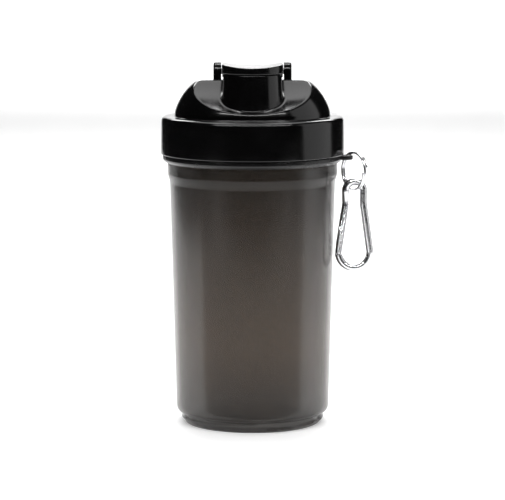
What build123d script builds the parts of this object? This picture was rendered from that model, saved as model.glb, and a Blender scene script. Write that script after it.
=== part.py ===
"""Protein shaker bottle: translucent cup, screw lid with a flip cap, and a carabiner on a neck collar.

Millimetres, +Z up. The origin is on the bottle's axis, at the plane that it stands on.
The spout faces -Y and the collar's lug points to +X.
"""

from build123d import *
from math import asin, atan2, cos, degrees, radians, sin, sqrt, tan
import os

os.makedirs("parts", exist_ok=True)

# ---- cup -------------------------------------------------------------------------------------
BOSS_R = 36.4  # root of the base thread
BOSS_TOP = 5.5
SHOULDER_R = 40.9
SHOULDER_TOP = 10.3
BODY_TOP_R = 44.1
BODY_TOP = 130.0
FLANGE_R = 45.2
FLANGE_LOW, FLANGE_TOP = 133.5, 140.0
NECK_R = 43.7
MOUTH_TOP = 160.8
BORE_R = 41.6
WALL = 2.0
FLOOR_RECESS = 2.0
STANDING_RING = 3.0
CAVITY_CORNER = 7.0

# ---- threads: starts, lead, ridge section ------------------------------------------------------
BASE_THREAD = {"starts": 2, "lead": 6.0, "sweep": 172.0, "first": -78.0, "low": 1.35}
NECK_THREAD = {"starts": 3, "lead": 12.0, "sweep": 96.0, "first": -68.0, "low": 149.6}
BASE_RIDGE = {"depth": 1.7, "root": 1.5, "crest": 0.7}
NECK_RIDGE = {"depth": 1.2, "root": 1.7, "crest": 0.9}
LID_RIDGE = {"depth": 1.2, "root": 1.6, "crest": 0.8}
ROOT_BITE = 0.4  # how far each ridge sinks into its wall
SEAM_TURN = radians(-80)  # where the turned walls' seams lie, clear of every ridge

# ---- neck collar with its lug ------------------------------------------------------------------
COLLAR_IN_R, COLLAR_R = 44.15, 47.8
COLLAR_LOW, COLLAR_TOP = 140.25, 144.15
LUG_LOW, LUG_TOP = 141.15, 143.55
LUG_HOLE_X, LUG_HOLE_R, LUG_HOLE_FLARE = 49.9, 2.25, 0.7
LUG_WIDTH = 8.4
LUG_MID = (LUG_LOW + LUG_TOP) / 2
LUG_END_X = 53.5

# ---- lid ---------------------------------------------------------------------------------------
SKIRT_LOW, SKIRT_LOW_R = 144.5, 48.85
LEDGE_TOP, LEDGE_R = 164.6, 48.4
LEDGE_ROUND = 2.2
LEDGE_THICK = 2.2
LID_THREAD_R = 45.4
DOME_FOOT_R, DOME_FOOT = 41.3, 167.0
DOME_TOP = 184.9
CREST_Y, CREST = -4.0, 184.5  # the scoop's upper edge
CREST_FALL = 6.0  # how steeply the top falls away behind the crest
LID_WALL = 2.0
INNER_SKIRT_R, INNER_SKIRT_IN_R = 40.8, 39.3
INNER_SKIRT_LOW = 151.0
CLIP_GROOVE_R = 39.95
CLIP_LOW, CLIP_TOP = 152.6, 155.6
SCOOP_FRONT_Y, SCOOP_FRONT = -40.8, 168.4
SCOOP_SLOPE = degrees(atan2(CREST - SCOOP_FRONT, CREST_Y - SCOOP_FRONT_Y))
SPOUT_Y = -22.0
SPOUT_TOP, SPOUT_TOP_R = 188.2, 15.25
SPOUT_FOOT, SPOUT_FOOT_R = 168.0, 16.3
SPOUT_BORE_R = 13.0
SPOUT_DIP = 9.0  # twice how far the bore reaches below the spout's foot
HINGE_Y, HINGE_Z = 3.0, 188.1
EAR_IN_X, EAR_OUT_X = 16.6, 20.8
EAR_R = 5.0
PIN_R, PIN_RUN = 1.5, 0.05
SEAL_THICK = 1.4

# ---- flip cap ----------------------------------------------------------------------------------
CAP_LOW, CAP_TOP = 188.5, 193.4
CAP_R = 16.1
CAP_IN_R = 13.7
CAP_PLATE = 2.4
DISH, DISH_R = 1.3, 86.0  # the hollow along the cap's top
BARREL_R = 3.3
PLUG_R, PLUG_LOW = 12.45, 183.7

# ---- strainer ----------------------------------------------------------------------------------
STRAINER_R = 38.9
BEAD_R = 39.6
GRID_PITCH, GRID_HOLE = 7.0, 5.2

# ---- split ring --------------------------------------------------------------------------------
RING_WIRE_R = 0.62
RING_R = 9.85  # to the wire's middle
RING_PITCH = 1.27
RING_TURN = 56.0  # how far the ring's plane is turned from the X axis
RING_Z = 135.7
RING_REACH = sqrt(RING_R**2 - (LUG_MID - RING_Z) ** 2)
RING_X = LUG_HOLE_X + RING_REACH * cos(radians(RING_TURN))
RING_Y = -RING_REACH * sin(radians(RING_TURN))

# ---- carabiner, drawn in the upright plane through the split ring's middle -----------------------
HOOK_WIRE_R = 1.95
HOOK_TOP = (RING_X + 0.2, 125.3)
HOOK_TOP_R = 4.7
HOOK_LOW = (RING_X + 0.2, 92.1)
HOOK_LOW_R = 8.35
HOOK_NECK = 118.4  # where the upper legs bend outward
HOOK_BEND_R = 12.0
GATE_GAP = 0.65
GATE_SLOT = 1.7
BLADE_THICK = 1.3
BLADE_WIDTH = 3.2
BLADE_LENGTH = 5.2
LATCH_DOWN, LATCH_R = 2.9, 0.6
NOTCH = 1.7
RIVET_R, RIVET_RUN = 0.75, 0.05
TONGUE_R = 1.6
SHOULDER_DOWN = 2.4
GATE_BORE_R, GATE_BORE_END = 1.1, 10.5
PLUNGER_R, PLUNGER_LOW, PLUNGER_TOP = 1.0, 1.9, 4.9
SPRING_WIRE_R, SPRING_R, SPRING_TURNS = 0.16, 0.78, 7


def finish(piece, label):
    """Labels one sub-part and writes its STEP file."""
    piece.part.label = label
    export_step(piece.part, "parts/" + label + ".step")


seam_plane = Plane(
    origin=(0, 0, 0),
    x_dir=(cos(SEAM_TURN), sin(SEAM_TURN), 0),
    z_dir=(sin(SEAM_TURN), -cos(SEAM_TURN), 0),
)


def ridge(radius, section, lead, sweep_deg, outward):
    """One thread ridge that starts on the X axis at height 0 and climbs counterclockwise."""
    side = 1 if outward else -1
    with BuildPart() as made:
        with BuildLine() as path:
            Helix(lead, lead * sweep_deg / 360, radius)
        start = Plane(origin=path.line @ 0, x_dir=(1, 0, 0), z_dir=path.line % 0)
        with BuildSketch(start):
            with BuildLine():
                Polyline(
                    (-side * ROOT_BITE, -section["root"] / 2),
                    (0, -section["root"] / 2),
                    (side * section["depth"], -section["crest"] / 2),
                    (side * section["depth"], section["crest"] / 2),
                    (0, section["root"] / 2),
                    (-side * ROOT_BITE, section["root"] / 2),
                    close=True,
                )
            make_face()
        sweep(path=path.line, is_frenet=True)
    return made.part


def ridge_places(thread, drop=0.0):
    """Where each start of a thread begins."""
    step = 360 / thread["starts"]
    return [
        Location((0, 0, thread["low"] - drop), (0, 0, thread["first"] + k * step))
        for k in range(thread["starts"])
    ]


# ---- tumbler -----------------------------------------------------------------------------------
base_ridge = ridge(BOSS_R, BASE_RIDGE, BASE_THREAD["lead"], BASE_THREAD["sweep"], True)
neck_ridge = ridge(NECK_R, NECK_RIDGE, NECK_THREAD["lead"], NECK_THREAD["sweep"], True)
floor_top = FLOOR_RECESS + WALL
with BuildPart() as tumbler:
    with BuildSketch(seam_plane):
        with BuildLine():
            Polyline(
                (0, FLOOR_RECESS),
                (BOSS_R - STANDING_RING - 1.5, FLOOR_RECESS),
                (BOSS_R - STANDING_RING, 0),
                (BOSS_R - 0.6, 0),
                (BOSS_R, 0.6),
                (BOSS_R, BOSS_TOP),
                (SHOULDER_R - 3.2, BOSS_TOP),
            )
            TangentArc((SHOULDER_R - 3.2, BOSS_TOP), (SHOULDER_R, SHOULDER_TOP - 1.4), tangent=(1, 0.05))
            Polyline(
                (SHOULDER_R, SHOULDER_TOP - 1.4),
                (BODY_TOP_R, BODY_TOP),
                (FLANGE_R, FLANGE_LOW),
                (FLANGE_R, FLANGE_TOP - 0.5),
                (FLANGE_R - 0.5, FLANGE_TOP),
                (NECK_R, FLANGE_TOP),
                (NECK_R, MOUTH_TOP - 0.6),
                (NECK_R - 0.6, MOUTH_TOP),
                (BORE_R, MOUTH_TOP),
                (BORE_R, BODY_TOP),
                (SHOULDER_R - WALL, floor_top + CAVITY_CORNER),
            )
            RadiusArc(
                (SHOULDER_R - WALL, floor_top + CAVITY_CORNER),
                (SHOULDER_R - WALL - CAVITY_CORNER, floor_top),
                CAVITY_CORNER,
            )
            Polyline((SHOULDER_R - WALL - CAVITY_CORNER, floor_top), (0, floor_top), (0, FLOOR_RECESS))
        make_face()
    revolve(axis=Axis.Z)
    with Locations(*ridge_places(BASE_THREAD)):
        add(base_ridge)
    with Locations(*ridge_places(NECK_THREAD)):
        add(neck_ridge)
finish(tumbler, "tumbler")

# ---- neck collar -------------------------------------------------------------------------------
lug_round = LUG_WIDTH / 2
with BuildPart() as lug:
    with BuildSketch(Plane.XY.offset(LUG_LOW)):
        with Locations((LUG_END_X - lug_round, 0)):
            Circle(lug_round)
        with Locations((LUG_END_X - lug_round, 0)):
            Rectangle(LUG_END_X - lug_round - COLLAR_IN_R - 1.0, LUG_WIDTH, align=(Align.MAX, Align.CENTER))
    extrude(amount=LUG_TOP - LUG_LOW)
    fillet(lug.faces().filter_by(Axis.Z).edges(), 0.6)
with BuildPart() as neck_collar:
    with BuildSketch(Plane.XZ):
        with BuildLine():
            Polyline(
                (COLLAR_IN_R, COLLAR_LOW),
                (COLLAR_R - 1.6, COLLAR_LOW),
                (COLLAR_R - 0.3, COLLAR_LOW + 1.2),
                (COLLAR_R, COLLAR_LOW + 1.9),
                (COLLAR_R, COLLAR_TOP - 0.4),
                (COLLAR_R - 0.4, COLLAR_TOP),
                (COLLAR_IN_R, COLLAR_TOP),
                close=True,
            )
        make_face()
    revolve(axis=Axis.Z)
    add(lug.part)
    with Locations((LUG_HOLE_X, 0, LUG_MID)):
        Cylinder(LUG_HOLE_R, 2 * (LUG_TOP - LUG_LOW), mode=Mode.SUBTRACT)
    flare_height = (LUG_TOP - LUG_LOW) / 2
    upper_flare = Location((LUG_HOLE_X, 0, LUG_TOP - flare_height / 2))
    lower_flare = Location((LUG_HOLE_X, 0, LUG_LOW + flare_height / 2), (180, 0, 0))
    with Locations(upper_flare, lower_flare):
        Cone(LUG_HOLE_R, LUG_HOLE_R + LUG_HOLE_FLARE, flare_height, mode=Mode.SUBTRACT)
finish(neck_collar, "neck_collar")

# ---- screw lid ---------------------------------------------------------------------------------
scoop_up = (0, -sin(radians(SCOOP_SLOPE)), cos(radians(SCOOP_SLOPE)))
scoop = Plane(origin=(0, SCOOP_FRONT_Y, SCOOP_FRONT), x_dir=(1, 0, 0), z_dir=scoop_up)
crest_up = (0, sin(radians(CREST_FALL)), cos(radians(CREST_FALL)))
crest = Plane(origin=(0, CREST_Y, CREST), x_dir=(1, 0, 0), z_dir=crest_up)
lid_ridge = ridge(LID_THREAD_R, LID_RIDGE, NECK_THREAD["lead"], NECK_THREAD["sweep"], False)
start_pitch = NECK_THREAD["lead"] / NECK_THREAD["starts"]


def dome_solid(inset, shut):
    """The dome without its scoop, drawn inward by inset, closed flat at the height shut."""
    with BuildPart() as made:
        with BuildSketch(Plane.XZ):
            with BuildLine():
                foot = Polyline((0, shut), (DOME_FOOT_R - inset, shut), (DOME_FOOT_R - inset, DOME_FOOT))
                side_end = (29.6 - inset * 0.8, DOME_TOP - 1.0 - inset)
                side = ThreePointArc(foot @ 1, (37.2 - inset, 176.1 - inset * 0.4), side_end)
                crown_mid = (27.2 - inset * 0.8, DOME_TOP - 0.2 - inset)
                crown_end = (24.0 - inset * 0.8, DOME_TOP - inset)
                crown = ThreePointArc(side @ 1, crown_mid, crown_end)
                Polyline(crown @ 1, (0, DOME_TOP - inset), (0, shut))
            make_face()
        revolve(axis=Axis.Z)
    return made.part


inner_dome = dome_solid(LID_WALL, INNER_SKIRT_LOW - 1)
outer_dome = dome_solid(0, LEDGE_TOP - 1)
with BuildPart() as lid_cavity:
    add(inner_dome)
    split(bisect_by=scoop.offset(-LID_WALL), keep=Keep.BOTTOM)
    split(bisect_by=crest.offset(-LID_WALL), keep=Keep.BOTTOM)

with BuildPart() as ears:
    with BuildSketch(Plane.YZ.offset(EAR_IN_X)):
        with Locations((HINGE_Y, HINGE_Z)):
            Circle(EAR_R)
            Rectangle(2 * EAR_R, HINGE_Z - CREST + 2.5, align=(Align.CENTER, Align.MAX))
    extrude(amount=EAR_OUT_X - EAR_IN_X)
    fillet(ears.faces().sort_by(Axis.X)[-1].edges().sort_by(Axis.Z)[1:], 1.2)
    mirror(about=Plane.YZ)

with BuildPart() as screw_lid:
    add(outer_dome)
    split(bisect_by=scoop, keep=Keep.BOTTOM)
    split(bisect_by=crest, keep=Keep.BOTTOM)
    scoop_face = screw_lid.faces().filter_by(lambda f: f.normal_at().dot(Vector(scoop_up)) > 0.9999)
    fillet(scoop_face.edges(), 0.7)
    with BuildSketch(seam_plane):
        with BuildLine():
            skirt = Polyline((INNER_SKIRT_IN_R, LEDGE_TOP), (LEDGE_R - LEDGE_ROUND, LEDGE_TOP))
            edge = RadiusArc(skirt @ 1, (LEDGE_R, LEDGE_TOP - LEDGE_ROUND), LEDGE_ROUND)
            Polyline(
                edge @ 1,
                (SKIRT_LOW_R, SKIRT_LOW + 0.5),
                (SKIRT_LOW_R - 0.5, SKIRT_LOW),
                (LID_THREAD_R, SKIRT_LOW),
                (LID_THREAD_R, LEDGE_TOP - LEDGE_THICK),
                (INNER_SKIRT_R, LEDGE_TOP - LEDGE_THICK),
                (INNER_SKIRT_R, INNER_SKIRT_LOW),
                (INNER_SKIRT_IN_R, INNER_SKIRT_LOW),
                (INNER_SKIRT_IN_R, CLIP_LOW - 0.5),
                (CLIP_GROOVE_R, CLIP_LOW),
                (CLIP_GROOVE_R, CLIP_TOP),
                (INNER_SKIRT_IN_R, CLIP_TOP + 0.5),
                (INNER_SKIRT_IN_R, LEDGE_TOP),
            )
        make_face()
    revolve(axis=Axis.Z)
    with BuildSketch(Plane.XY.offset(SPOUT_FOOT)):
        with Locations((0, SPOUT_Y)):
            Circle(SPOUT_FOOT_R)
    with BuildSketch(Plane.XY.offset(SPOUT_TOP)):
        with Locations((0, SPOUT_Y)):
            Circle(SPOUT_TOP_R)
    loft()
    add(ears.part)
    add(lid_cavity.part, mode=Mode.SUBTRACT)
    with Locations((0, SPOUT_Y, SPOUT_TOP)):
        Cylinder(SPOUT_BORE_R, 2 * (SPOUT_TOP - SPOUT_FOOT) + SPOUT_DIP, mode=Mode.SUBTRACT)
    with Locations(Location((0, HINGE_Y, HINGE_Z), (0, 90, 0))):
        Cylinder(PIN_R, 2 * EAR_OUT_X + 2, mode=Mode.SUBTRACT)
    with Locations(*ridge_places(NECK_THREAD, drop=start_pitch / 2)):
        add(lid_ridge)
finish(screw_lid, "screw_lid")

# ---- hinge pin of the cap ------------------------------------------------------------------------
with BuildPart() as cap_hinge_pin:
    with Locations(Location((0, HINGE_Y, HINGE_Z), (0, 90, 0))):
        Cylinder(PIN_R, 2 * EAR_OUT_X - 0.8)
    chamfer(cap_hinge_pin.edges().filter_by(GeomType.CIRCLE), 0.25)
finish(cap_hinge_pin, "cap_hinge_pin")

# ---- lid seal ------------------------------------------------------------------------------------
with BuildPart() as lid_seal:
    with BuildSketch(Plane.XY.offset(LEDGE_TOP - LEDGE_THICK - SEAL_THICK)):
        Circle(LID_THREAD_R - 0.15)
        Circle(INNER_SKIRT_R + 0.15, mode=Mode.SUBTRACT)
    extrude(amount=SEAL_THICK)
finish(lid_seal, "lid_seal")

# ---- flip cap --------------------------------------------------------------------------------------
with BuildPart() as spout_cap:
    with BuildSketch(Plane.XY.offset(CAP_LOW)):
        with Locations((0, SPOUT_Y)):
            Circle(CAP_R)
        with Locations((0, (SPOUT_Y + HINGE_Y) / 2)):
            Rectangle(2 * CAP_R, HINGE_Y - SPOUT_Y)
    extrude(amount=CAP_TOP - CAP_LOW)
    with BuildSketch(Plane.YZ.offset(-CAP_R - 1)):
        with BuildLine():
            Polyline(
                (HINGE_Y - 9, CAP_TOP + 1),
                (HINGE_Y - 9, CAP_TOP),
                (HINGE_Y, HINGE_Z + BARREL_R),
                (HINGE_Y + 1, HINGE_Z + BARREL_R),
                (HINGE_Y + 1, CAP_TOP + 1),
                close=True,
            )
        make_face()
    extrude(amount=2 * CAP_R + 2, mode=Mode.SUBTRACT)
    with Locations(Location((0, HINGE_Y, HINGE_Z), (0, 90, 0))):
        Cylinder(BARREL_R, 2 * CAP_R)
    with BuildSketch(Plane.XY.offset(CAP_LOW)):
        with Locations((0, SPOUT_Y)):
            Circle(CAP_IN_R)
    extrude(amount=CAP_TOP - CAP_LOW - CAP_PLATE, mode=Mode.SUBTRACT)
    with Locations(Location((0, SPOUT_Y, CAP_TOP + DISH_R - DISH), (90, 0, 0))):
        Cylinder(DISH_R, 4 * CAP_R, mode=Mode.SUBTRACT)
    with Locations(Location((0, HINGE_Y, HINGE_Z), (0, 90, 0))):
        Cylinder(PIN_R + PIN_RUN, 2 * CAP_R + 2, mode=Mode.SUBTRACT)
    front_rim = spout_cap.edges().filter_by(GeomType.CIRCLE).filter_by(lambda e: abs(e.radius - CAP_R) < 0.01)
    fillet(front_rim.sort_by(Axis.Z)[0], 0.5)
finish(spout_cap, "spout_cap")

# ---- plug under the cap ----------------------------------------------------------------------------
plug_top = CAP_TOP - CAP_PLATE
with BuildPart() as cap_plug:
    with BuildSketch(Plane.XZ):
        with BuildLine():
            Polyline(
                (0, PLUG_LOW),
                (PLUG_R - 1.0, PLUG_LOW),
                (PLUG_R, PLUG_LOW + 1.2),
                (PLUG_R, plug_top - 1.2),
                (CAP_IN_R - 0.1, plug_top - 1.2),
                (CAP_IN_R - 0.1, plug_top),
                (PLUG_R - 2.0, plug_top),
                (PLUG_R - 2.0, PLUG_LOW + 1.6),
                (0, PLUG_LOW + 1.6),
                close=True,
            )
        make_face()
    revolve(axis=Axis.Z)
cap_plug.part = cap_plug.part.moved(Location((0, SPOUT_Y, 0)))
finish(cap_plug, "cap_plug")

# ---- strainer --------------------------------------------------------------------------------------
grid_steps = range(-5, 6)
grid_reach = STRAINER_R - 2.5 - GRID_HOLE * 0.7
grid_cells = [
    (GRID_PITCH * i, GRID_PITCH * j)
    for i in grid_steps
    for j in grid_steps
    if GRID_PITCH * sqrt(i * i + j * j) < grid_reach
]
with BuildPart() as strainer:
    with BuildSketch(Plane.XZ):
        with BuildLine():
            Polyline(
                (0, CLIP_LOW + 0.6),
                (STRAINER_R, CLIP_LOW + 0.6),
                (BEAD_R, CLIP_LOW + 1.0),
                (BEAD_R, CLIP_TOP - 0.8),
                (STRAINER_R, CLIP_TOP - 0.4),
                (STRAINER_R, CLIP_TOP + 3.5),
                (STRAINER_R - 1.3, CLIP_TOP + 3.5),
                (STRAINER_R - 1.3, CLIP_LOW + 2.2),
                (0, CLIP_LOW + 2.2),
                close=True,
            )
        make_face()
    revolve(axis=Axis.Z)
    with BuildSketch(Plane.XY.offset(CLIP_LOW)):
        with Locations(*grid_cells):
            RectangleRounded(GRID_HOLE, GRID_HOLE, 0.6)
    extrude(amount=4, mode=Mode.SUBTRACT)
finish(strainer, "strainer")

# ---- split ring ------------------------------------------------------------------------------------
ring_along = Vector(cos(radians(RING_TURN)), -sin(radians(RING_TURN)), 0)
ring_across = Vector(sin(radians(RING_TURN)), cos(radians(RING_TURN)), 0)
ring_start = Vector(RING_X, RING_Y, RING_Z) - ring_across * RING_PITCH
ring_plane = Plane(origin=ring_start, x_dir=ring_along, z_dir=ring_across)
with BuildPart() as coil:
    with BuildLine() as coil_path:
        Helix(RING_PITCH, 2 * RING_PITCH - 0.05, RING_R)
    with BuildSketch(Plane(origin=coil_path.line @ 0, x_dir=(1, 0, 0), z_dir=coil_path.line % 0)):
        Circle(RING_WIRE_R)
    sweep(path=coil_path.line, is_frenet=True)
with BuildPart() as split_ring:
    with Locations(ring_plane.location):
        add(coil.part)
finish(split_ring, "split_ring")

# ---- carabiner -------------------------------------------------------------------------------------
def flat(point):
    """A point of the hook's plane as a pair."""
    return (point.X, point.Y)


hook_plane = Plane.XZ.offset(-RING_Y)
upper, lower = Vector(*HOOK_TOP), Vector(*HOOK_LOW)
neck_left = Vector(upper.X - HOOK_TOP_R, HOOK_NECK)
neck_right = Vector(upper.X + HOOK_TOP_R, HOOK_NECK)


def touch(outside, turn):
    """Where the line from a point outside touches the hook's lower round, on the side that turn says."""
    gap = outside - lower
    swing = degrees(asin(HOOK_LOW_R / gap.length))
    reach = sqrt(gap.length**2 - HOOK_LOW_R**2)
    return outside + (lower - outside).normalized().rotate(Axis.Z, turn * swing) * reach


left_low, right_low = touch(neck_left, -1), touch(neck_right, 1)
along = (neck_left - left_low).normalized()
pivot = left_low
pivot_point = Vector(pivot.X, RING_Y, pivot.Y)
gate_length = (neck_left - left_low).length
latch_up = gate_length - LATCH_DOWN
gate_dir = Vector(along.X, 0, along.Y)
right_down = (right_low - neck_right).normalized()
bend = HOOK_BEND_R * tan(radians(right_down.get_angle(Vector(0, -1))) / 2)
bend_middle = Vector(neck_right.X + HOOK_BEND_R, HOOK_NECK + bend)
bend_point = bend_middle + (neck_right - bend_middle).normalized() * HOOK_BEND_R
bend_end = neck_right + right_down * bend
left_round = (left_low - lower).rotate(Axis.Z, degrees(SHOULDER_DOWN / HOOK_LOW_R)) + lower
gate_plane = Plane(origin=pivot_point, x_dir=(0, 1, 0), z_dir=gate_dir)


def on_gate(height):
    """The plane across the gate at a height above its pivot."""
    return gate_plane.offset(height)


inward = Vector(gate_dir.Z, 0, -gate_dir.X)  # from the gate toward the middle of the eye
blade_plane = Plane(origin=pivot_point, x_dir=inward, z_dir=inward.cross(gate_dir))


def gate_plate(points, thick):
    """A plate in the hook's own plane. Its points are (toward the middle of the eye, up the gate)."""
    with BuildPart() as made:
        with BuildSketch(blade_plane):
            with BuildLine():
                Polyline(*points, close=True)
            make_face()
        extrude(amount=thick / 2, both=True)
    return made.part


def cross_round(radius, length, ahead=0.0, height=0.0):
    """A round bar across the gate, ahead of its pivot or above it."""
    with BuildPart() as made:
        with BuildSketch(blade_plane):
            with Locations((ahead, height)):
                Circle(radius)
        extrude(amount=length / 2, both=True)
    return made.part


nose = gate_length + GATE_GAP
nose_z = HOOK_NECK + GATE_GAP
blade_tip = nose - BLADE_LENGTH
half = BLADE_WIDTH / 2
notch_low, notch_top = latch_up - NOTCH / 2, latch_up + NOTCH / 2
notch_end = 0.2 - NOTCH / 2
foot = -SHOULDER_DOWN - 0.8
nose_blade = gate_plate(
    [
        (-half, nose + 0.8),
        (-half, blade_tip),
        (half, blade_tip),
        (half, notch_low),
        (notch_end, notch_low),
        (notch_end, notch_top),
        (half, notch_top),
        (half, nose + 0.8),
    ],
    BLADE_THICK,
)
tongue_foot = gate_plate([(-TONGUE_R, foot), (TONGUE_R, foot), (TONGUE_R, 0), (-TONGUE_R, 0)], BLADE_THICK)
tongue_end = cross_round(TONGUE_R, BLADE_THICK)
tongue_cam = cross_round(TONGUE_R - 0.2, BLADE_THICK, 0.42, 0.35)
rivet_hole = cross_round(RIVET_R, 3 * BLADE_THICK)
with BuildPart() as carabiner_frame:
    with BuildLine(hook_plane) as hook_path:
        Line((neck_left.X, nose_z), (neck_left.X, upper.Y))
        ThreePointArc((neck_left.X, upper.Y), (upper.X, upper.Y + HOOK_TOP_R), (neck_right.X, upper.Y))
        Line((neck_right.X, upper.Y), (neck_right.X, HOOK_NECK + bend))
        ThreePointArc((neck_right.X, HOOK_NECK + bend), flat(bend_point), flat(bend_end))
        Line(flat(bend_end), flat(right_low))
        ThreePointArc(flat(right_low), flat(lower - Vector(0, HOOK_LOW_R)), flat(left_round))
    with BuildSketch(Plane(origin=(neck_left.X, RING_Y, nose_z), z_dir=(0, 0, 1))):
        Circle(HOOK_WIRE_R)
    sweep(path=hook_path.wires()[0])
    add(nose_blade)
    add(tongue_foot)
    add(tongue_end)
    add(tongue_cam)
    add(rivet_hole, mode=Mode.SUBTRACT)
finish(carabiner_frame, "carabiner_frame")

slot_low, slot_top = blade_tip - 0.6, gate_length + 1
heel, heel_top = -HOOK_WIRE_R - 1, TONGUE_R + 0.7
nose_slot = gate_plate([(-3, slot_low), (3, slot_low), (3, slot_top), (-3, slot_top)], GATE_SLOT)
tongue_slot = gate_plate([(-3, heel), (3, heel), (3, heel_top), (-3, heel_top)], GATE_SLOT)
heel_block = gate_plate([(-3, heel), (3, heel), (3, 0), (-3, 0)], 6)
heel_round = cross_round(HOOK_WIRE_R, 6)
rivet_run = cross_round(RIVET_R + RIVET_RUN, 6)
latch_hole = cross_round(LATCH_R, 6, height=latch_up)
with BuildPart() as heel_waste:
    add(heel_block)
    add(heel_round, mode=Mode.SUBTRACT)
with BuildPart() as carabiner_gate:
    with BuildSketch(on_gate(-HOOK_WIRE_R)):
        Circle(HOOK_WIRE_R)
    extrude(amount=gate_length + HOOK_WIRE_R)
    with BuildSketch(on_gate(0)):
        Circle(GATE_BORE_R)
    extrude(amount=GATE_BORE_END, mode=Mode.SUBTRACT)
    add(heel_waste.part, mode=Mode.SUBTRACT)
    add(nose_slot, mode=Mode.SUBTRACT)
    add(tongue_slot, mode=Mode.SUBTRACT)
    add(rivet_run, mode=Mode.SUBTRACT)
    add(latch_hole, mode=Mode.SUBTRACT)
finish(carabiner_gate, "carabiner_gate")

with BuildPart() as gate_pivot_pin:
    add(cross_round(RIVET_R, 2 * HOOK_WIRE_R))
finish(gate_pivot_pin, "gate_pivot_pin")

with BuildPart() as gate_latch_pin:
    add(cross_round(LATCH_R, 2 * HOOK_WIRE_R - 0.5, height=latch_up))
finish(gate_latch_pin, "gate_latch_pin")

with BuildPart() as gate_plunger:
    with BuildSketch(on_gate(PLUNGER_LOW + PLUNGER_R)):
        Circle(PLUNGER_R)
    extrude(amount=PLUNGER_TOP - PLUNGER_LOW - PLUNGER_R)
    with Locations(on_gate(PLUNGER_LOW + PLUNGER_R).location):
        Sphere(PLUNGER_R)
finish(gate_plunger, "gate_plunger")

spring_low, spring_top = PLUNGER_TOP + SPRING_WIRE_R, GATE_BORE_END - SPRING_WIRE_R
spring_pitch = (spring_top - spring_low) / SPRING_TURNS
with BuildPart() as spring_coil:
    with BuildLine() as spring_path:
        Helix(spring_pitch, spring_top - spring_low, SPRING_R)
    with BuildSketch(Plane(origin=spring_path.line @ 0, x_dir=(1, 0, 0), z_dir=spring_path.line % 0)):
        Circle(SPRING_WIRE_R)
    sweep(path=spring_path.line, is_frenet=True)
with BuildPart() as gate_spring:
    with Locations(on_gate(spring_low).location):
        add(spring_coil.part)
finish(gate_spring, "gate_spring")
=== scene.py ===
"""Protein shaker bottle: the finished surfaces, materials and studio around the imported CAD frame.

Metres, +Z up. The origin is on the bottle's axis, at the plane that it stands on.
The spout faces -Y and the collar's lug points to +X. Outlines are drawn in millimetres.
"""

import bpy
import math
import numpy as np
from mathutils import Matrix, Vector


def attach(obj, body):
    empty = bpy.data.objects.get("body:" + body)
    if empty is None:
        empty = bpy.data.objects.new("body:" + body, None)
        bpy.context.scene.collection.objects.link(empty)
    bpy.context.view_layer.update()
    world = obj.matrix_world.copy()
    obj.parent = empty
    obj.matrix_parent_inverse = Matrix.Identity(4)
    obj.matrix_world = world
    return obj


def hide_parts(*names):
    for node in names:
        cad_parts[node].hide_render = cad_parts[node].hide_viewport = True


bl_info = {
    "name": "Protein shaker bottle",
    "version": (1, 0, 0),
    "blender": (4, 5, 0),
    "location": "View3D > Sidebar > Shaker",
    "description": "Builds a shaker bottle's cup, lid, cap, collar and studio around its CAD frame",
    "category": "Add Mesh",
}

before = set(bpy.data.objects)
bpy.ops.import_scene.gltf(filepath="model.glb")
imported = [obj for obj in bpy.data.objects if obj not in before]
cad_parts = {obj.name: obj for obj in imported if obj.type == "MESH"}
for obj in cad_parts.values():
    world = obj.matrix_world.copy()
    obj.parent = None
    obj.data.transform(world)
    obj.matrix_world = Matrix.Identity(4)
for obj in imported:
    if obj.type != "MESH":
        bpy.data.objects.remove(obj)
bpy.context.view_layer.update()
MM = 0.001

# ---- sizes in millimetres, the same as the frame's -----------------------------------------------
CUP_OUTSIDE = [
    (0, 2), (31.9, 2, 0.5), (33.4, 0, 0.4), (36.4, 0, 0.6), (36.4, 5.5, 0.5), (37.7, 5.5), (38.9, 5.75),
    (39.9, 6.4), (40.6, 7.5), (40.9, 8.9, 0.6),
]
CUP_WALL = [(44.1, 130, 9.0), (45.2, 133.5, 6.0), (45.2, 140, 0.8), (43.7, 140, 0.3)]
CUP_INSIDE = [(43.7, 160.8, 0.6), (41.6, 160.8, 0.4), (41.6, 130, 4.0), (38.9, 4, 7.0), (0, 4)]
NECK_R, BOSS_R = 43.7, 36.4
BASE_THREAD = {
    "starts": 2, "lead": 6.0, "sweep": 172.0, "first": -78.0, "low": 1.35, "depth": 1.7, "root": 1.5, "crest": 0.7,
}
NECK_THREAD = {
    "starts": 3, "lead": 12.0, "sweep": 96.0, "first": -68.0, "low": 149.6, "depth": 1.2, "root": 1.7, "crest": 0.9,
}
LID_THREAD = {
    "starts": 3, "lead": 12.0, "sweep": 96.0, "first": -68.0, "low": 147.6, "depth": -1.2, "root": 1.6, "crest": 0.8,
}
THREAD_END, THREAD_REACH = 5, 0.02
CUP_THREAD_STEP, CUP_STEP = 0.25, 12.0
LID_THREAD_R, LID_THREAD_STEP, LID_STEP = 45.4, 0.3, 4.0
DOME_FOOT_R, DOME_FOOT = 41.3, 167.0
LID_SKIRT = [
    (47.0, 144.5), (48.85, 144.5, 0.5), (48.4, 164.6, 2.2), (DOME_FOOT_R, 164.6, 0.9), (DOME_FOOT_R, DOME_FOOT, 0.6),
]
DOME_START = (41.29, 167.4)
LID_INSIDE = [
    (47.0, 144.5), (45.4, 144.5, 0.3), (45.4, 162.4), (40.8, 162.4), (40.8, 151, 0.3), (39.3, 151, 0.3),
    (39.3, 152.1), (39.95, 152.6), (39.95, 155.6), (39.3, 156.1), (39.3, 167.0),
]
DOME_TOP, DOME_STEP, DOME_INSIDE_STEP = 184.9, 0.55, 1.6
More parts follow.
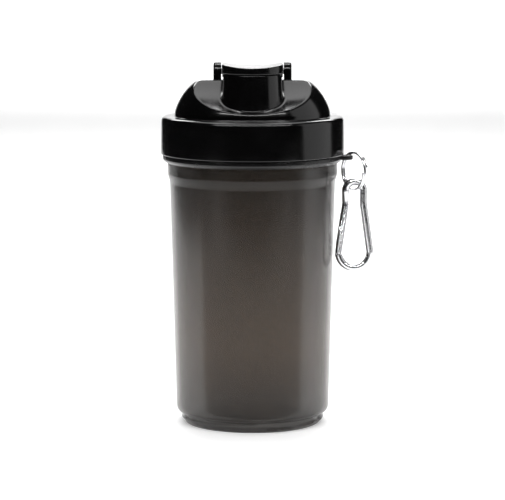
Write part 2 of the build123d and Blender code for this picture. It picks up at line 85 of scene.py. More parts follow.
DOME_SHAPED_ABOVE, DOME_SHAPED_WITHIN = 166.0, 41.2
CREST_Y, CREST, CREST_SLOPE = -4.0, 184.5, math.tan(math.radians(6.0))
SCOOP_FRONT_Y, SCOOP_FRONT = -40.8, 168.4
SCOOP_RISE = (CREST - SCOOP_FRONT) / (CREST_Y - SCOOP_FRONT_Y)
SCOOP_MID_Y, SCOOP_HALF_X, SCOOP_HALF_Y = -22.2, 30.0, 18.2
LID_WALL = 2.0
SPOUT_Y, SPOUT_BORE_R, SPOUT_FOOT_R = -22.0, 13.0, 16.0
SPOUT_CUT_EXTRA, SPOUT_CUT_LOW, SPOUT_CUT_HIGH = 1.2, 160.0, 200.0
SPOUT = [
    (13.0, 166), (13.0, 188.2, 0.5), (15.25, 188.2, 0.6), (16.2, 169.2), (16.2, 166),
]
HINGE_Y, HINGE_Z = 3.0, 188.1
EAR_IN, EAR_OUT, EAR_R, EAR_FOOT = 16.6, 20.8, 5.0, 181.6
EAR_SOFT_IN, EAR_SOFT_OUT = 0.3, 1.2
CAP_LOW, CAP_TOP, CAP_R, CAP_IN_R = 188.5, 193.4, 16.1, 13.7
CAP_PLATE, CAP_DISH, CAP_DISH_HALF = 2.4, 1.3, 15.0
CAP_SOFT_LOW, CAP_SOFT_TOP, CAP_FALL, CAP_LIFT = 0.5, 0.9, 9, 2.0
CAP_RINGS, CAP_MIDDLE_Y, CAP_HOLLOW = 22, SPOUT_Y + 4.0, 10.0
BARREL_R, PIN_HOLE_R, EAR_HOLE_R = 3.3, 1.55, 1.5
COLLAR_SEAM = (45.9, 140.25)
COLLAR = [
    (44.15, 140.25, 0.2), (46.2, 140.25, 0.3), (47.5, 141.45, 0.6), (47.8, 142.15, 0.4), (47.8, 144.15, 0.5),
    (44.15, 144.15, 0.2),
]
LUG_LOW, LUG_TOP, LUG_END, LUG_HALF, LUG_ROOT, LUG_SOFT = 141.15, 143.55, 53.5, 4.2, 45.2, 0.6
LUG_HOLE_X, LUG_HOLE_R, LUG_FLARE_R, LUG_CUT_PAST = 49.9, 2.25, 2.95, 0.4

# ---- tint and studio, in metres and watts ----------------------------------------------------
# painted shade: the share of the smoke tint by height, as a part of the ramp's height, darker at the base where the
# cup stands and at the neck under the lid
PAINTED_SHADE_LEVELS = [(0.03, 0.05), (0.09, 0.32), (0.28, 0.6), (0.55, 0.36), (0.78, 0.16), (0.9, 0.08)]
SHADE_RAMP_HEIGHT = 0.16
# name, place, aim, width, height, power
LIGHTS = [
    ("right_box", (1.27, 0.0, 0.45), (0, 0, 0.12), 1.25, 1.2, 3.8),
    ("top_box", (0, 0.45, 1.5), (0, 0, 0.1), 1.6, 1.1, 10),
    ("back_box", (0, 1.35, 1.0), (0, 0, 0.17), 1.4, 0.3, 14),
    ("front_strip", (0, -0.85, 0.95), (0, 0, 0.17), 2.2, 0.07, 12),
    ("crest_strip", (0, 0.12, 1.3), (0, 0, 0.17), 1.1, 0.05, 5),
]
WORLD_GREY = 0.012
CAMERA_PLACE, CAMERA_AIM, CAMERA_LENS, CAMERA_SENSOR = (0, -1.353, 0.275), (0, 0, 0.0925), 181.7, 36


# ---- settings --------------------------------------------------------------------------------

class ShakerSettings(bpy.types.PropertyGroup):
    """How finely and how softly the bottle is made."""

    steps: bpy.props.IntProperty(name="Steps", description="Steps round each turned piece", default=288, min=48)
    dish: bpy.props.FloatProperty(
        name="Dish", description="Depth of the hollow in the lid's scoop", default=0.0018, unit="LENGTH")
    rim_round: bpy.props.FloatProperty(
        name="Rim round", description="Softness of the scoop's rim", default=0.0011, unit="LENGTH")
    spout_fillet: bpy.props.FloatProperty(
        name="Spout fillet", description="Fillet where the spout meets the scoop", default=0.0014, unit="LENGTH")
    smoke: bpy.props.FloatVectorProperty(
        name="Smoke", description="Tint of the cup's plastic", default=(0.13, 0.088, 0.056), subtype="COLOR")
    black: bpy.props.FloatVectorProperty(
        name="Black", description="Colour of the moulded black parts", default=(0.0012, 0.0012, 0.0013),
        subtype="COLOR")


# ---- modelling helpers -----------------------------------------------------------------------

def rounded(corners, facets=6):
    """A polyline through corners (radius, height) whose corners with a third number are rounded by it."""
    line = []
    for place, corner in enumerate(corners):
        here = np.array(corner[:2], float)
        if len(corner) < 3 or place in (0, len(corners) - 1):
            line.append(tuple(here))
            continue
        back = np.array(corners[place - 1][:2], float) - here
        ahead = np.array(corners[place + 1][:2], float) - here
        back_run, ahead_run = np.linalg.norm(back), np.linalg.norm(ahead)
        back, ahead = back / back_run, ahead / ahead_run
        half = math.acos(float(np.clip(back @ ahead, -1, 1))) / 2
        reach = min(corner[2] / math.tan(half), back_run * 0.49, ahead_run * 0.49)
        radius = reach * math.tan(half)
        middle = here + (back + ahead) / np.linalg.norm(back + ahead) * radius / math.sin(half)
        first, last = here + back * reach - middle, here + ahead * reach - middle
        for step in range(facets + 1):
            spoke = first + (last - first) * step / facets
            line.append(tuple(middle + spoke / np.linalg.norm(spoke) * radius))
    return line


def dense(line, step):
    """The polyline with every stretch cut into pieces no longer than step."""
    made = [line[0]]
    for start, end in zip(line, line[1:]):
        count = max(1, math.ceil(math.dist(start, end) / step))
        for place in range(1, count + 1):
            made.append(tuple(a + (b - a) * place / count for a, b in zip(start, end)))
    return made


def finer_where(line, threaded, fine, coarse):
    """The polyline cut finely where a thread will be raised and coarsely elsewhere."""
    made = []
    for start, end in zip(line, line[1:]):
        made += dense([start, end], fine if threaded(start, end) else coarse)[:-1]
    return made + [line[-1]]


def new_piece(name, points, edges=(), faces=()):
    """An object at the origin from points in millimetres."""
    data = bpy.data.meshes.new(name)
    data.from_pydata([tuple(v * MM for v in point) for point in points], edges, faces)
    made = bpy.data.objects.new(name, data)
    bpy.context.scene.collection.objects.link(made)
    return made


def pick(piece):
    """Selects one object alone and makes it active."""
    bpy.ops.object.select_all(action="DESELECT")
    piece.select_set(True)
    bpy.context.view_layer.objects.active = piece


def close_up(piece):
    """Merges seams and poles and turns the faces outward."""
    pick(piece)
    bpy.ops.object.mode_set(mode="EDIT")
    bpy.ops.mesh.select_all(action="SELECT")
    bpy.ops.mesh.remove_doubles(threshold=0.000002)
    bpy.ops.mesh.normals_make_consistent(inside=False)
    bpy.ops.object.mode_set(mode="OBJECT")


def turned(name, line, steps, at=(0, 0)):
    """A piece spun about an upright axis from a polyline of (radius, height)."""
    points = [(at[0] + radius, at[1], height) for radius, height in line]
    made = new_piece(name, points, [(k, k + 1) for k in range(len(points) - 1)])
    pick(made)
    bpy.ops.object.mode_set(mode="EDIT")
    bpy.ops.mesh.select_all(action="SELECT")
    bpy.ops.mesh.spin(steps=steps, angle=2 * math.pi, center=(at[0] * MM, at[1] * MM, 0), axis=(0, 0, 1))
    bpy.ops.object.mode_set(mode="OBJECT")
    close_up(made)
    return made


def joined(name, *pieces):
    """Several pieces joined into one mesh, with the seams between them closed."""
    bpy.ops.object.select_all(action="DESELECT")
    for piece in pieces:
        piece.select_set(True)
    bpy.context.view_layer.objects.active = pieces[0]
    bpy.ops.object.join()
    pieces[0].name = name
    close_up(pieces[0])
    return pieces[0]


def combine(piece, tool, operation):
    """Applies a boolean with a tool piece and removes the tool."""
    cut = piece.modifiers.new("cut", "BOOLEAN")
    cut.operation = operation
    cut.solver = "EXACT"
    cut.object = tool
    pick(piece)
    before = len(piece.data.polygons)
    bpy.ops.object.modifier_apply(modifier=cut.name)
    if len(piece.data.polygons) in (0, before):
        raise RuntimeError(f"{operation} on {piece.name} changed nothing")
    bpy.data.objects.remove(tool, do_unlink=True)


def read_points(piece):
    """The piece's vertices in millimetres, as an array of rows."""
    flat = np.empty(len(piece.data.vertices) * 3)
    piece.data.vertices.foreach_get("co", flat)
    return flat.reshape(-1, 3) / MM


def write_points(piece, points):
    """Puts an array of rows in millimetres back as the piece's vertices."""
    piece.data.vertices.foreach_set("co", (points * MM).ravel())
    piece.data.update()


def raise_thread(piece, wall, thread):
    """Raises thread ridges out of a turned wall. A negative depth raises them inward."""
    root, crest = thread["root"], thread["crest"]
    points = read_points(piece)
    radius = np.hypot(points[:, 0], points[:, 1])
    turn = np.degrees(np.arctan2(points[:, 1], points[:, 0]))
    ridge = np.zeros(len(points))
    for start in range(thread["starts"]):
        along = (turn - thread["first"] - start * 360 / thread["starts"]) % 360
        off = np.abs(points[:, 2] - thread["low"] - thread["lead"] * along / 360)
        side = np.clip((root / 2 - off) / ((root - crest) / 2), 0, 1)
        end = np.clip(np.minimum(along, thread["sweep"] - along) / THREAD_END, 0, 1)
        ridge = np.maximum(ridge, side * end)
    ridge[np.abs(radius - wall) > THREAD_REACH] = 0
    grow = 1 + thread["depth"] * ridge / np.maximum(radius, 1)
    points[:, 0] *= grow
    points[:, 1] *= grow
    write_points(piece, points)


def soft_min(one, other, softness):
    """The lower of two heights with the crease between them rounded."""
    near = np.maximum(softness - np.abs(one - other), 0)
    return np.minimum(one, other) - near * near / (4 * softness)


def bar(name, radius, x_low, x_high, y, z, sides=64):
    """A round bar along X."""
    bpy.ops.mesh.primitive_cylinder_add(
        vertices=sides, radius=radius * MM, depth=(x_high - x_low) * MM,
        location=((x_low + x_high) / 2 * MM, y * MM, z * MM), rotation=(0, math.pi / 2, 0))
    made = bpy.context.object
    made.name = name
    bpy.ops.object.transform_apply(location=True, rotation=True, scale=True)
    return made


def post(name, radius, z_low, z_high, y, sides):
    """A round post along Z."""
    bpy.ops.mesh.primitive_cylinder_add(
        vertices=sides, radius=radius * MM, depth=(z_high - z_low) * MM,
        location=(0, y * MM, (z_low + z_high) / 2 * MM))
    made = bpy.context.object
    made.name = name
    return made


def flat_up(a, b, up):
    """Places an outline's point level, at a height."""
    return (a, b, up)


def stacked(name, outline, layers, place=flat_up):
    """A closed solid from an outline repeated at layers of (inset, height), placed by a function."""
    flat = np.array(outline, float)
    ahead, behind = np.roll(flat, -1, axis=0), np.roll(flat, 1, axis=0)
    run = ahead - behind
    run /= np.linalg.norm(run, axis=1)[:, None]
    inward = np.stack([-run[:, 1], run[:, 0]], axis=1)
    points, faces, count = [], [], len(flat)
    for inset, height in layers:
        points += [place(a, b, height) for a, b in flat + inward * inset]
    for layer in range(len(layers) - 1):
        low, high = layer * count, (layer + 1) * count
        faces += [(low + k, low + (k + 1) % count, high + (k + 1) % count, high + k) for k in range(count)]
    faces.append(tuple(range(count - 1, -1, -1)))
    faces.append(tuple(range((len(layers) - 1) * count, len(layers) * count)))
    made = new_piece(name, points, (), faces)
    close_up(made)
    return made


def edge_layers(low, high, soft_low, soft_high, facets=5):
    """Layers of (inset, height) for a plate with rounded edges."""
    turns = [math.pi / 2 * k / facets for k in range(facets + 1)]
    under = [(soft_low * (1 - math.sin(t)), low + soft_low * (1 - math.cos(t))) for t in turns]
    over = [(soft_high * (1 - math.cos(t)), high - soft_high * (1 - math.sin(t))) for t in turns]
    return under + over


def smooth(piece, degrees=32):
    """Shades a piece smooth except across edges sharper than an angle."""
    pick(piece)
    bpy.ops.object.shade_smooth_by_angle(angle=math.radians(degrees))


def finish_piece(piece, node, body, material):
    """Gives a piece its material and its place in the mechanism, and hides the CAD node it replaces."""
    piece.data.materials.clear()
    piece.data.materials.append(material)
    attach(piece, body)
    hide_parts(node)


def smoothed_copy(node, name, body, material, degrees=30):
    """A merged, smoothly shaded copy of a CAD node for the small fittings."""
    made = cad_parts[node].copy()
    made.data = made.data.copy()
    made.name = name
    made.parent = None
    bpy.context.scene.collection.objects.link(made)
    close_up(made)
    smooth(made, degrees)
    finish_piece(made, node, body, material)


# ---- materials -------------------------------------------------------------------------------

def new_material(name):
    """A node material with its Principled shader. One of the same name is used again."""
    made = bpy.data.materials.get(name) or bpy.data.materials.new(name)
    made.use_nodes = True
    return made, made.node_tree.nodes, made.node_tree.links, made.node_tree.nodes["Principled BSDF"]


def noise(nodes, links, scale, detail=2.0, stretch=(1, 1, 1)):
    """A noise texture on the piece's own coordinates."""
    place = nodes.new("ShaderNodeTexCoord")
    turn = nodes.new("ShaderNodeMapping")
    turn.inputs["Scale"].default_value = stretch
    grain = nodes.new("ShaderNodeTexNoise")
    grain.inputs["Scale"].default_value = scale
    grain.inputs["Detail"].default_value = detail
    links.new(place.outputs["Object"], turn.inputs["Vector"])
    links.new(turn.outputs["Vector"], grain.inputs["Vector"])
    return grain


def ramp(nodes, links, source, stops):
    """A colour ramp on a value, from a list of (position, grey or colour)."""
    made = nodes.new("ShaderNodeValToRGB")
    cells = made.color_ramp.elements
    while len(cells) < len(stops):
        cells.new(0.5)
    for cell, (place, tone) in zip(cells, stops):
        cell.position = place
        cell.color = (*tone, 1) if isinstance(tone, tuple) else (tone, tone, tone, 1)
    links.new(source, made.inputs["Fac"])
    return made


def bump(nodes, links, source, strength, distance):
    """Bump from a value."""
    made = nodes.new("ShaderNodeBump")
    made.inputs["Strength"].default_value = strength
    made.inputs["Distance"].default_value = distance
    links.new(source, made.inputs["Height"])
    return made


def moulded_black(name, tone, rough_low, rough_high, specular=0.5):
    """Moulded black plastic with faint flow marks and handling haze."""
    made, nodes, links, shader = new_material(name)
    haze = noise(nodes, links, 60.0, 4.0)
    spread = ramp(nodes, links, haze.outputs["Fac"], [(0.35, rough_low), (0.7, rough_high)])
    links.new(spread.outputs["Color"], shader.inputs["Roughness"])
    tint = ramp(nodes, links, haze.outputs["Fac"], [(0.3, tuple(tone)), (0.75, tuple(v * 1.4 for v in tone))])
    links.new(tint.outputs["Color"], shader.inputs["Base Color"])
    grain = noise(nodes, links, 900.0, 2.0)
    relief = bump(nodes, links, grain.outputs["Fac"], 0.03, 0.0002)
    links.new(relief.outputs["Normal"], shader.inputs["Normal"])
    shader.inputs["IOR"].default_value = 1.5
    shader.inputs["Specular IOR Level"].default_value = specular
    return made


def smoke_plastic(tone):
    """Smoky translucent cup plastic, frosted inside, with a faint moulding haze and painted shade, darker at the
    base and the neck.
    """
    made, nodes, links, shader = new_material("smoke_plastic")
    shader.inputs["Transmission Weight"].default_value = 0.8
    shader.inputs["IOR"].default_value = 1.45
    shader.inputs["Specular IOR Level"].default_value = 0.05
    haze = noise(nodes, links, 25.0, 3.0, (1, 1, 0.4))
    place = nodes.new("ShaderNodeTexCoord")
    parts = nodes.new("ShaderNodeSeparateXYZ")
    links.new(place.outputs["Object"], parts.inputs["Vector"])
    level = nodes.new("ShaderNodeMapRange")
    level.inputs["From Max"].default_value = SHADE_RAMP_HEIGHT
    links.new(parts.outputs["Z"], level.inputs["Value"])
    # painted shade: the tint is scaled down by height, darkest at the base and the neck
    painted_shade_tones = [(at, tuple(v * share for v in tone)) for at, share in PAINTED_SHADE_LEVELS]
    depth = ramp(nodes, links, level.outputs["Result"], painted_shade_tones)
    wander = ramp(nodes, links, haze.outputs["Fac"], [(0.3, 0.92), (0.7, 1.0)])
    tint = nodes.new("ShaderNodeMix")
    tint.data_type = "RGBA"
    tint.blend_type = "MULTIPLY"
    tint.inputs["Factor"].default_value = 1.0
    links.new(depth.outputs["Color"], tint.inputs["A"])
    links.new(wander.outputs["Color"], tint.inputs["B"])
    links.new(tint.outputs["Result"], shader.inputs["Base Color"])
    spread = ramp(nodes, links, haze.outputs["Fac"], [(0.3, 0.16), (0.7, 0.2)])
    links.new(spread.outputs["Color"], shader.inputs["Roughness"])
    grain = noise(nodes, links, 1200.0, 2.0)
    relief = bump(nodes, links, grain.outputs["Fac"], 0.05, 0.0002)
    links.new(relief.outputs["Normal"], shader.inputs["Normal"])
    return made


def bright_metal(name, tone, rough):
    """Plated metal with fine wear scratches."""
    made, nodes, links, shader = new_material(name)
    shader.inputs["Metallic"].default_value = 1.0
    wear = noise(nodes, links, 220.0, 6.0, (1, 1, 6))
    spread = ramp(nodes, links, wear.outputs["Fac"], [(0.3, rough), (0.75, rough * 2.2)])
    links.new(spread.outputs["Color"], shader.inputs["Roughness"])
    tint = ramp(nodes, links, wear.outputs["Fac"], [(0.3, tone), (0.8, tuple(v * 0.82 for v in tone))])
    links.new(tint.outputs["Color"], shader.inputs["Base Color"])
    relief = bump(nodes, links, wear.outputs["Fac"], 0.04, 0.0001)
    links.new(relief.outputs["Normal"], shader.inputs["Normal"])
    return made


def lid_black():
    """The lid's glossy black."""
    return moulded_black("lid_black", bpy.context.scene.shaker.black, 0.12, 0.2)


def steel():
    """Polished nickel of the hook and ring."""
    return bright_metal("hook_nickel", (0.86, 0.86, 0.88), 0.13)


# ---- the cup ---------------------------------------------------------------------------------

def on_cup_thread(start, end):
    """Whether a stretch of the cup's outline is one of its short upright walls, where threads can be."""
    return start[0] == end[0] and start[0] > BOSS_R - 0.1 and abs(end[1] - start[1]) < 25


class SHAKER_OT_cup(bpy.types.Operator):
    """Turns the cup and raises its base and neck threads"""

    bl_idname = "shaker.cup"
    bl_label = "Cup"

    def execute(self, context):
        """Builds the cup."""
        settings = context.scene.shaker
        line = rounded(CUP_OUTSIDE + CUP_WALL + CUP_INSIDE)
        cup = turned("cup", finer_where(line, on_cup_thread, CUP_THREAD_STEP, CUP_STEP), settings.steps)
        raise_thread(cup, BOSS_R, BASE_THREAD)
        raise_thread(cup, NECK_R, NECK_THREAD)
        smooth(cup)
        finish_piece(cup, "tumbler", "tumbler", smoke_plastic(settings.smoke))
        return {"FINISHED"}


# ---- the lid ---------------------------------------------------------------------------------

def dome_line(inset):
    """The dome's outline, drawn inward by inset, from its foot to the axis."""
    foot = np.array((DOME_FOOT_R - inset, DOME_FOOT))
    middle = np.array((37.2 - inset, 176.1 - inset * 0.4))
    end = np.array((29.6 - inset * 0.8, DOME_TOP - 1.0 - inset))
    crown = np.array((24.0 - inset * 0.8, DOME_TOP - inset))
    line = arc_through(foot, middle, end, 28)
    crown_mid = np.array((27.2 - inset * 0.8, DOME_TOP - 0.2 - inset))
    line += arc_through(end, crown_mid, crown, 8)[1:]
    return line + [(0.0, DOME_TOP - inset)]


def arc_through(first, middle, last, count):
    """Points of the arc through three points."""
    a, b = middle - first, last - first
    turn = 2 * (a[0] * b[1] - a[1] * b[0])
    shift = np.array((b[1] * (a @ a) - a[1] * (b @ b), a[0] * (b @ b) - b[0] * (a @ a))) / turn
    centre, radius = first + shift, np.linalg.norm(shift)
    low = math.atan2(*(first - centre)[::-1])
    high = math.atan2(*(last - centre)[::-1])
    turns = [low + (high - low) * k / count for k in range(count + 1)]
    return [(centre[0] + radius * math.cos(t), centre[1] + radius * math.sin(t)) for t in turns]


def lower_to_scoop(piece, settings, down, fillet):
    """Lowers the dome's surface to the hollowed scoop and the falling crest."""
    points = read_points(piece)
    x, y, z = points.T
    across, along = x / SCOOP_HALF_X, (y - SCOOP_MID_Y) / SCOOP_HALF_Y
    scoop = SCOOP_FRONT + (y - SCOOP_FRONT_Y) * SCOOP_RISE - down
    scoop = scoop - settings.dish / MM * (1 - across * across - along * along)
    crest = CREST - (y - CREST_Y) * CREST_SLOPE - down
    if fillet:
        gap = np.clip(np.hypot(x, y - SPOUT_Y) - SPOUT_FOOT_R, 0, fillet)
        scoop = scoop + fillet - np.sqrt(fillet * fillet - (fillet - gap) ** 2)
    round_by = settings.rim_round / MM
    lowered = soft_min(soft_min(z, crest, round_by * 2), scoop, round_by)
    dome = (z > DOME_SHAPED_ABOVE) & (np.hypot(x, y) < DOME_SHAPED_WITHIN)
    points[dome, 2] = lowered[dome]
    write_points(piece, points)


def ear_outline():
    """One hinge ear from the side, as (along Y, up), counterclockwise."""
    top = [math.pi * k / 40 for k in range(41)]
    line = [(HINGE_Y + EAR_R * math.cos(t), HINGE_Z + EAR_R * math.sin(t)) for t in top]
    left, right = HINGE_Y - EAR_R, HINGE_Y + EAR_R
    return [(right, EAR_FOOT)] + line + [(left, EAR_FOOT)]


def on_lid_thread(start, end):
    """Whether a stretch of the lid's inner outline is its threaded wall."""
    return start[0] == end[0] == LID_THREAD_R


class SHAKER_OT_lid(bpy.types.Operator):
    """Turns the lid, sinks its scoop and adds the spout and the hinge ears"""

    bl_idname = "shaker.lid"
    bl_label = "Screw lid"

    def execute(self, context):
        """Builds the lid."""
        settings = context.scene.shaker
        outside = dense(rounded(LID_SKIRT + [DOME_START])[:-1], LID_STEP)
        crown = dense(dome_line(0), DOME_STEP)
        shell = turned("shell", outside + crown[1:], settings.steps)
        lower_to_scoop(shell, settings, 0, settings.spout_fillet / MM)
        line = finer_where(rounded(LID_INSIDE), on_lid_thread, LID_THREAD_STEP, LID_STEP)[:-1]
        inside = turned("inside", line + dense(dome_line(LID_WALL), DOME_INSIDE_STEP), settings.steps)
        lower_to_scoop(inside, settings, LID_WALL, 0)
        raise_thread(inside, LID_THREAD_R, LID_THREAD)
        lid = joined("lid", shell, inside)
        way = post("way", SPOUT_BORE_R + SPOUT_CUT_EXTRA, SPOUT_CUT_LOW, SPOUT_CUT_HIGH, SPOUT_Y, 96)
        combine(lid, way, "DIFFERENCE")
        wall = rounded(SPOUT)
        combine(lid, turned("spout", wall + [wall[0]], 160, at=(0, SPOUT_Y)), "UNION")
        layers = edge_layers(EAR_IN, EAR_OUT, EAR_SOFT_IN, EAR_SOFT_OUT)
        for side in (1, -1):
            ear = stacked("ear", ear_outline(), layers, lambda a, b, up: (side * up, a, b))
            combine(ear, bar("hole", EAR_HOLE_R, -30, 30, HINGE_Y, HINGE_Z), "DIFFERENCE")
            combine(lid, ear, "UNION")
        smooth(lid)
        finish_piece(lid, "screw_lid", "lid", lid_black())
        return {"FINISHED"}


# ---- the flip cap ----------------------------------------------------------------------------

def cap_outline():
    """The cap from above, as (x, y), counterclockwise: round in front and straight at the hinge."""
    front = [math.pi + math.pi * k / 72 for k in range(73)]
    line = [(CAP_R * math.cos(t), SPOUT_Y + CAP_R * math.sin(t)) for t in front]
    line += [(CAP_R, y) for y in np.linspace(SPOUT_Y, HINGE_Y, 16)[1:]]
    line += [(x, HINGE_Y) for x in np.linspace(CAP_R, -CAP_R, 20)[1:-1]]
    line += [(-CAP_R, y) for y in np.linspace(HINGE_Y, SPOUT_Y, 16)[:-1]]
    return line


class SHAKER_OT_cap(bpy.types.Operator):
    """Builds the flip cap with its rounded rim, dished top and hinge barrel"""

    bl_idname = "shaker.cap"
    bl_label = "Flip cap"

    def execute(self, context):
        """Builds the cap."""
        cap = stacked("cap", cap_outline(), edge_layers(CAP_LOW, CAP_TOP, CAP_SOFT_LOW, CAP_SOFT_TOP))
        pick(cap)
        bpy.ops.object.mode_set(mode="EDIT")
        bpy.ops.mesh.select_mode(type="FACE")
        bpy.ops.mesh.select_all(action="DESELECT")
        bpy.ops.object.mode_set(mode="OBJECT")
        top = max((f for f in cap.data.polygons if len(f.vertices) > 20), key=lambda f: f.center.z)
        top.select = True
        bpy.ops.object.mode_set(mode="EDIT")
        for ring in range(CAP_RINGS):
            shrink = 1 - 1 / (CAP_RINGS - ring + 1)
            bpy.ops.mesh.extrude_region_move()
            bpy.ops.transform.resize(
                value=(shrink, shrink, 1), center_override=(0, CAP_MIDDLE_Y * MM, CAP_TOP * MM))
        bpy.ops.mesh.poke()
        bpy.ops.object.mode_set(mode="OBJECT")
        points = read_points(cap)
        x, y, z = points.T
        hollow = CAP_DISH * (1 - (x / CAP_DISH_HALF) ** 2)
        fall = np.clip((y - HINGE_Y + CAP_FALL) / CAP_FALL, 0, 1) * (CAP_TOP - HINGE_Z - BARREL_R)
        lift = np.clip((z - CAP_TOP + CAP_LIFT) / CAP_LIFT, 0, 1)
        points[:, 2] = z - lift * (np.maximum(hollow, 0) + fall)
        write_points(cap, points)
        combine(cap, bar("barrel", BARREL_R, -CAP_R, CAP_R, HINGE_Y, HINGE_Z), "UNION")
        plate = CAP_TOP - CAP_PLATE
        combine(cap, post("hollow", CAP_IN_R, plate - CAP_HOLLOW, plate, SPOUT_Y, 128), "DIFFERENCE")
        combine(cap, bar("run", PIN_HOLE_R, -20, 20, HINGE_Y, HINGE_Z), "DIFFERENCE")
        smooth(cap)
        finish_piece(cap, "spout_cap", "cap", lid_black())
        return {"FINISHED"}


# ---- the collar ------------------------------------------------------------------------------

class SHAKER_OT_collar(bpy.types.Operator):
    """Turns the neck collar and adds its lug with the flared hole"""

    bl_idname = "shaker.collar"
    bl_label = "Neck collar"

    def execute(self, context):
        """Builds the collar."""
        line = rounded([COLLAR_SEAM] + COLLAR[1:] + COLLAR[:1] + [COLLAR_SEAM])
        collar = turned("collar", line, context.scene.shaker.steps)
        middle = LUG_END - LUG_HALF
        turns = [-math.pi / 2 + math.pi * k / 48 for k in range(49)]
        outline = [(middle + LUG_HALF * math.cos(t), LUG_HALF * math.sin(t)) for t in turns]
        outline += [(LUG_ROOT, LUG_HALF), (LUG_ROOT, -LUG_HALF)]
        combine(collar, stacked("lug", outline, edge_layers(LUG_LOW, LUG_TOP, LUG_SOFT, LUG_SOFT)), "UNION")
        waist = (LUG_LOW + LUG_TOP) / 2
        half = (LUG_TOP - LUG_LOW) / 2
        flare = [(LUG_HOLE_R + (LUG_FLARE_R - LUG_HOLE_R) * (k / 6) ** 2, half * k / 6) for k in range(7)]
        flare += [(LUG_FLARE_R + LUG_CUT_PAST, half + LUG_CUT_PAST)]
        hole = [(0.0, waist - half - LUG_CUT_PAST)] + [(r, waist - up) for r, up in reversed(flare)]
        hole += [(r, waist + up) for r, up in flare[1:]] + [(0.0, waist + half + LUG_CUT_PAST)]
        combine(collar, turned("hole", hole, 64, at=(LUG_HOLE_X, 0)), "DIFFERENCE")
        smooth(collar)
        black = moulded_black("collar_black", context.scene.shaker.black, 0.2, 0.3)
        finish_piece(collar, "neck_collar", "collar", black)
        return {"FINISHED"}


# ---- fittings --------------------------------------------------------------------------------

class SHAKER_OT_hook(bpy.types.Operator):
    """Finishes the split ring, the carabiner, its gate and pins"""

    bl_idname = "shaker.hook"
    bl_label = "Ring and carabiner"

    def execute(self, context):
        """Builds the metal fittings."""
        nickel, pins = steel(), bright_metal("pin_steel", (0.55, 0.55, 0.56), 0.18)
        smoothed_copy("split_ring", "key_ring", "ring", nickel, 50)
        smoothed_copy("carabiner_frame", "hook_frame", "carabiner", nickel, 35)
        smoothed_copy("carabiner_gate", "hook_gate", "gate", nickel, 35)
        smoothed_copy("gate_pivot_pin", "hook_rivet", "carabiner", pins)
        smoothed_copy("gate_latch_pin", "hook_latch", "gate", pins)
        smoothed_copy("gate_plunger", "hook_plunger", "gate", pins)
        smoothed_copy("gate_spring", "hook_spring", "gate", pins, 50)
        return {"FINISHED"}


class SHAKER_OT_inside(bpy.types.Operator):
    """Finishes the strainer, the lid's seal, the cap's plug and the hinge pin"""

    bl_idname = "shaker.inside"
    bl_label = "Strainer and seals"

    def execute(self, context):
        """Builds the inner parts."""
        satin = moulded_black("strainer_black", (0.012, 0.012, 0.013), 0.35, 0.5)
        soft = moulded_black("seal_rubber", (0.03, 0.03, 0.031), 0.6, 0.75, 0.3)
        smoothed_copy("strainer", "mixing_grid", "strainer", satin)
        smoothed_copy("lid_seal", "seal_ring", "lid", soft)
        smoothed_copy("cap_plug", "spout_plug", "cap", soft)
        smoothed_copy("cap_hinge_pin", "hinge_pin", "lid", satin)
        return {"FINISHED"}


# ---- stage -----------------------------------------------------------------------------------

def area_light(name, place, aim, width, height, power):
    """A soft box."""
    data = bpy.data.lights.new(name, "AREA")
    data.shape = "RECTANGLE"
    data.size, data.size_y = width, height
    data.energy = power
    lamp = bpy.data.objects.new(name, data)
    bpy.context.scene.collection.objects.link(lamp)
    lamp.location = place
    lamp.rotation_euler = (Vector(aim) - Vector(place)).to_track_quat("-Z", "Y").to_euler()


def card(name, place, turn, width, height, base, glow):
    """A flat card that shines evenly."""
    bpy.ops.mesh.primitive_plane_add(size=1, location=place, rotation=turn)
    made = bpy.context.object
    made.name = name
    made.scale = (width, height, 1)
    surface, _, _, shader = new_material(name)
    shader.inputs["Base Color"].default_value = (base, base, base, 1)
    shader.inputs["Roughness"].default_value = 0.9
    shader.inputs["Emission Color"].default_value = (1, 1, 1, 1)
    shader.inputs["Emission Strength"].default_value = glow
    made.data.materials.append(surface)
    return made


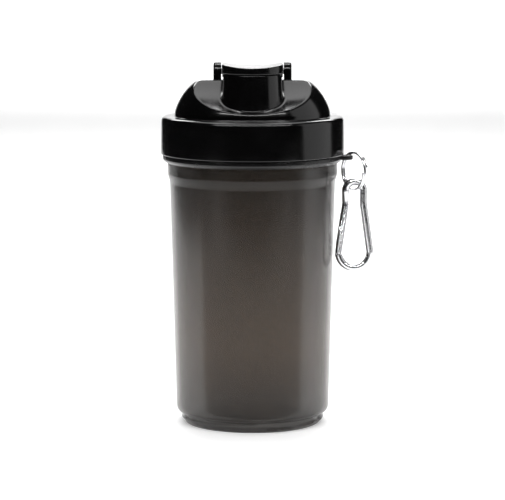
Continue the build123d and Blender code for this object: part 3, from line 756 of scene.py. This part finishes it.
class SHAKER_OT_stage(bpy.types.Operator):
    """Sets up the floor, the backdrop, the soft boxes, the world and the camera"""

    bl_idname = "shaker.stage"
    bl_label = "Stage"

    def execute(self, context):
        """Builds the studio."""
        scene = context.scene
        floor = card("pale_floor", (0, 0.875, 0), (0, 0, 0), 1.3, 2.85, 0.93, 0.34)
        wall = card("white_backdrop", (0, 2.3, 1.0), (math.pi / 2, 0, 0), 1.3, 2.4, 0.9, 1.0)
        world = bpy.data.worlds.new("studio")
        scene.world = world
        world.use_nodes = True
        world.node_tree.nodes["Background"].inputs["Color"].default_value = (WORLD_GREY, WORLD_GREY, WORLD_GREY, 1)
        for light in LIGHTS:
            area_light(*light)
        camera = bpy.data.objects.new("camera", bpy.data.cameras.new("camera"))
        scene.collection.objects.link(camera)
        camera.location = CAMERA_PLACE
        camera.rotation_euler = (Vector(CAMERA_AIM) - camera.location).to_track_quat("-Z", "Y").to_euler()
        camera.data.lens = CAMERA_LENS
        camera.data.sensor_width = CAMERA_SENSOR
        scene.camera = camera
        scene.view_settings.view_transform = "Standard"
        return {"FINISHED"}


# ---- panel and registration ------------------------------------------------------------------

class SHAKER_PT_panel(bpy.types.Panel):
    """The bottle's sidebar panel"""

    bl_label = "Shaker bottle"
    bl_idname = "SHAKER_PT_panel"
    bl_space_type = "VIEW_3D"
    bl_region_type = "UI"
    bl_category = "Shaker"

    def draw(self, context):
        """Draws the settings and one button per operator."""
        for name in ShakerSettings.__annotations__:
            self.layout.prop(context.scene.shaker, name)
        for operator in OPERATORS:
            self.layout.operator(operator.bl_idname)


OPERATORS = (
    SHAKER_OT_cup, SHAKER_OT_lid, SHAKER_OT_cap, SHAKER_OT_collar, SHAKER_OT_hook, SHAKER_OT_inside,
    SHAKER_OT_stage,
)
CLASSES = (ShakerSettings, *OPERATORS, SHAKER_PT_panel)


def register():
    """Registers the classes and the scene's settings."""
    for item in CLASSES:
        bpy.utils.register_class(item)
    bpy.types.Scene.shaker = bpy.props.PointerProperty(type=ShakerSettings)


def unregister():
    """Removes the settings and the classes."""
    del bpy.types.Scene.shaker
    for item in reversed(CLASSES):
        bpy.utils.unregister_class(item)


def main():
    """Builds everything in order."""
    register()
    bpy.ops.shaker.cup()
    bpy.ops.shaker.lid()
    bpy.ops.shaker.cap()
    bpy.ops.shaker.collar()
    bpy.ops.shaker.hook()
    bpy.ops.shaker.inside()
    bpy.ops.shaker.stage()


if __name__ == "__main__":
    main()
